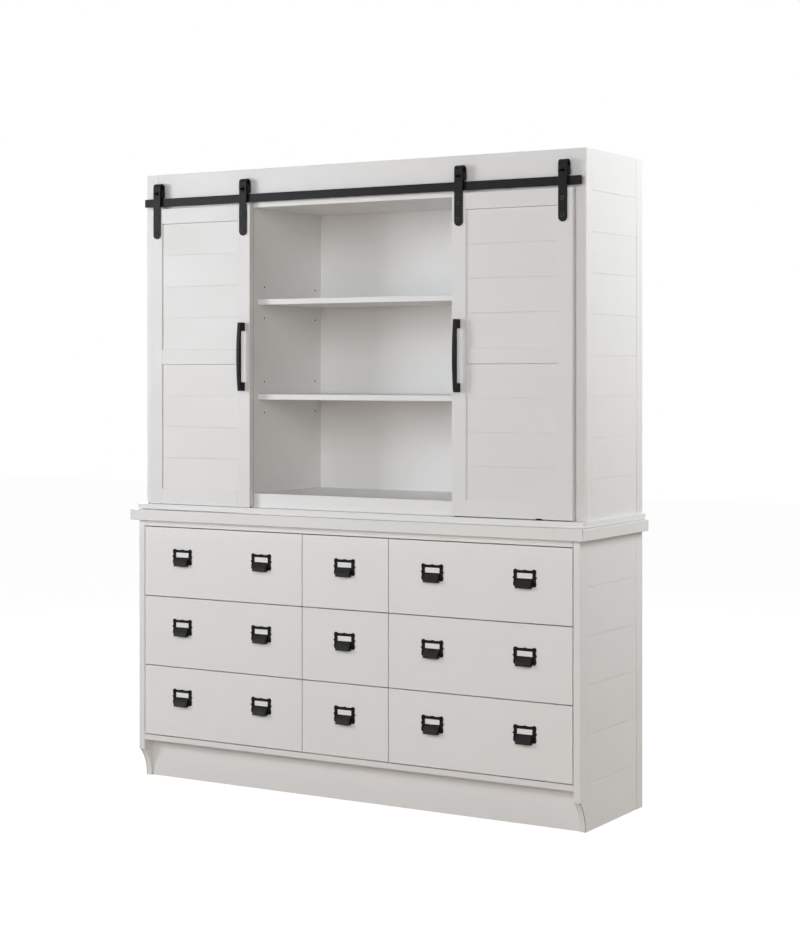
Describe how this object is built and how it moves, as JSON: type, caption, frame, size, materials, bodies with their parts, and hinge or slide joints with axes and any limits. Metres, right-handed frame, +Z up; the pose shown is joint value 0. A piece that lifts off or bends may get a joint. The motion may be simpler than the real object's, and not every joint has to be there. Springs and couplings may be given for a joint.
{
  "type": "dresser with hutch",
  "caption": "Painted dresser with inset drawers below and a shelved upper case whose planked doors slide on a flat rail.",
  "frame": {"origin": "on the floor, at the middle of the overall width and depth", "axes": "+Z up, +Y towards the back, +X to the right as seen from the front"},
  "size_m": [1.69, 0.47, 2.032],
  "materials": {
    "white_paint": "satin paint",
    "drawer_wood": "clear lacquer",
    "black_iron": "black powder coat",
    "zinc_steel": "zinc plated",
    "wheel_plastic": "moulded nylon"
  },
  "bodies": {
    "carcass": {"base_side_panel_left": "white_paint", "base_side_panel_right": "white_paint", "base_dividers": "white_paint", "base_bottom_panel": "white_paint", "base_top_rails": "white_paint", "base_back_panel": "white_paint", "kick_boards": "white_paint", "dresser_top": "white_paint", "drawer_runners": "zinc_steel", "hutch_base_board": "white_paint", "hutch_side_panel_left": "white_paint", "hutch_side_panel_right": "white_paint", "hutch_dividers": "white_paint", "hutch_top_panel": "white_paint", "hutch_floor_and_ceiling": "white_paint", "hutch_face_frame": "white_paint", "hutch_back_panel": "white_paint", "hutch_shelves": "white_paint", "shelf_pins": "zinc_steel", "door_rail": "black_iron", "door_track_fittings": "black_iron"},
    "drawer_bottom_left": {"drawer_front_bottom_left": "white_paint", "drawer_box_bottom_left": "drawer_wood", "drawer_pulls_bottom_left": "black_iron"},
    "drawer_bottom_centre": {"drawer_front_bottom_centre": "white_paint", "drawer_box_bottom_centre": "drawer_wood", "drawer_pulls_bottom_centre": "black_iron"},
    "drawer_bottom_right": {"drawer_front_bottom_right": "white_paint", "drawer_box_bottom_right": "drawer_wood", "drawer_pulls_bottom_right": "black_iron"},
    "drawer_middle_left": {"drawer_front_middle_left": "white_paint", "drawer_box_middle_left": "drawer_wood", "drawer_pulls_middle_left": "black_iron"},
    "drawer_middle_centre": {"drawer_front_middle_centre": "white_paint", "drawer_box_middle_centre": "drawer_wood", "drawer_pulls_middle_centre": "black_iron"},
    "drawer_middle_right": {"drawer_front_middle_right": "white_paint", "drawer_box_middle_right": "drawer_wood", "drawer_pulls_middle_right": "black_iron"},
    "drawer_top_left": {"drawer_front_top_left": "white_paint", "drawer_box_top_left": "drawer_wood", "drawer_pulls_top_left": "black_iron"},
    "drawer_top_centre": {"drawer_front_top_centre": "white_paint", "drawer_box_top_centre": "drawer_wood", "drawer_pulls_top_centre": "black_iron"},
    "drawer_top_right": {"drawer_front_top_right": "white_paint", "drawer_box_top_right": "drawer_wood", "drawer_pulls_top_right": "black_iron"},
    "door_left": {"door_frame_left": "white_paint", "door_planks_left": "white_paint", "door_hangers_left": "black_iron", "door_handle_left": "black_iron"},
    "wheel_left_inner": {"wheel_left_inner": "wheel_plastic"},
    "wheel_left_outer": {"wheel_left_outer": "wheel_plastic"},
    "door_right": {"door_frame_right": "white_paint", "door_planks_right": "white_paint", "door_hangers_right": "black_iron", "door_handle_right": "black_iron"},
    "wheel_right_inner": {"wheel_right_inner": "wheel_plastic"},
    "wheel_right_outer": {"wheel_right_outer": "wheel_plastic"}
  },
  "joints": [
    {"name": "drawer_bottom_left_slide", "type": "slide", "parent": "carcass", "child": "drawer_bottom_left", "axis": [0, -1, 0], "range_m": [0, 0.3]},
    {"name": "drawer_bottom_centre_slide", "type": "slide", "parent": "carcass", "child": "drawer_bottom_centre", "axis": [0, -1, 0], "range_m": [0, 0.3]},
    {"name": "drawer_bottom_right_slide", "type": "slide", "parent": "carcass", "child": "drawer_bottom_right", "axis": [0, -1, 0], "range_m": [0, 0.3]},
    {"name": "drawer_middle_left_slide", "type": "slide", "parent": "carcass", "child": "drawer_middle_left", "axis": [0, -1, 0], "range_m": [0, 0.3]},
    {"name": "drawer_middle_centre_slide", "type": "slide", "parent": "carcass", "child": "drawer_middle_centre", "axis": [0, -1, 0], "range_m": [0, 0.3]},
    {"name": "drawer_middle_right_slide", "type": "slide", "parent": "carcass", "child": "drawer_middle_right", "axis": [0, -1, 0], "range_m": [0, 0.3]},
    {"name": "drawer_top_left_slide", "type": "slide", "parent": "carcass", "child": "drawer_top_left", "axis": [0, -1, 0], "range_m": [0, 0.3]},
    {"name": "drawer_top_centre_slide", "type": "slide", "parent": "carcass", "child": "drawer_top_centre", "axis": [0, -1, 0], "range_m": [0, 0.3]},
    {"name": "drawer_top_right_slide", "type": "slide", "parent": "carcass", "child": "drawer_top_right", "axis": [0, -1, 0], "range_m": [0, 0.3]},
    {"name": "door_left_slide", "type": "slide", "parent": "carcass", "child": "door_left", "axis": [1, 0, 0], "range_m": [0, 0.378]},
    {"name": "wheel_left_inner_roll", "type": "hinge", "parent": "door_left", "child": "wheel_left_inner", "pos_m": [-0.405, -0.188, 1.9653], "axis": [0, 1, 0], "range_deg": [0, 1354]},
    {"name": "wheel_left_outer_roll", "type": "hinge", "parent": "door_left", "child": "wheel_left_outer", "pos_m": [-0.76, -0.188, 1.9653], "axis": [0, 1, 0], "range_deg": [0, 1354]},
    {"name": "door_right_slide", "type": "slide", "parent": "carcass", "child": "door_right", "axis": [-1, 0, 0], "range_m": [0, 0.378]},
    {"name": "wheel_right_inner_roll", "type": "hinge", "parent": "door_right", "child": "wheel_right_inner", "pos_m": [0.405, -0.188, 1.9653], "axis": [0, -1, 0], "range_deg": [0, 1354]},
    {"name": "wheel_right_outer_roll", "type": "hinge", "parent": "door_right", "child": "wheel_right_outer", "pos_m": [0.76, -0.188, 1.9653], "axis": [0, -1, 0], "range_deg": [0, 1354]}
  ],
  "couplings": [
    {"joint": "wheel_left_inner_roll", "follows": "door_left_slide", "rad_per_m": 62.5},
    {"joint": "wheel_left_outer_roll", "follows": "door_left_slide", "rad_per_m": 62.5},
    {"joint": "wheel_right_inner_roll", "follows": "door_right_slide", "rad_per_m": 62.5},
    {"joint": "wheel_right_outer_roll", "follows": "door_right_slide", "rad_per_m": 62.5}
  ]
}
